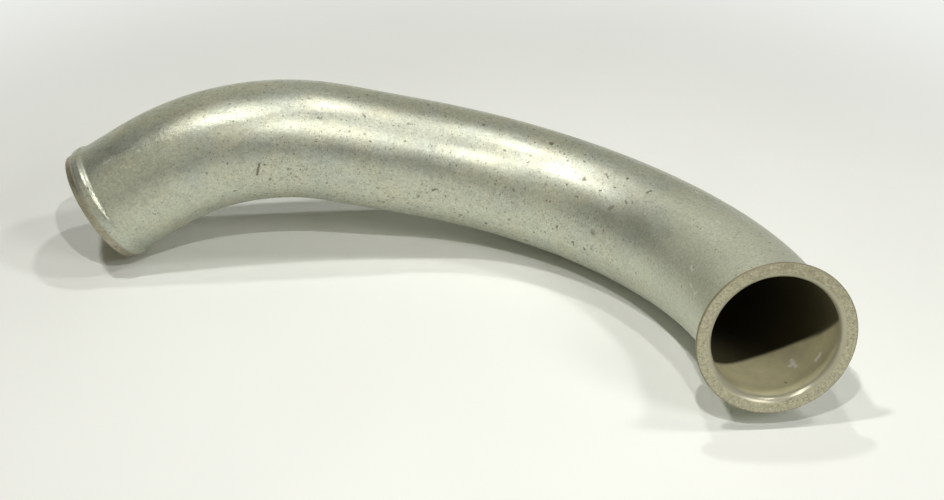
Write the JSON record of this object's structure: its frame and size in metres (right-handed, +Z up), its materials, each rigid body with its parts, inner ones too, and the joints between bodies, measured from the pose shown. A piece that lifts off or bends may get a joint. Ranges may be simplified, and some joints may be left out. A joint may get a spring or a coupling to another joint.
{
  "type": "cold air intake pipe",
  "caption": "Bent thin-walled steel tube that leads intake air through two bends set square to each other, with a rolled hose bead at one end and a turned-out flange at the other.",
  "frame": {"origin": "middle of the bounding box on the surface that the pipe lies on", "axes": "+Z up with the pipe at rest, -Y the way the flange faces seen from above, -X towards the beaded end"},
  "size_m": [0.2656, 0.1577, 0.0657],
  "materials": {
    "plated_steel": "dull plating, stained olive, pitted and scuffed"
  },
  "bodies": {
    "root": {"intake_pipe": "plated_steel"}
  },
  "joints": []
}
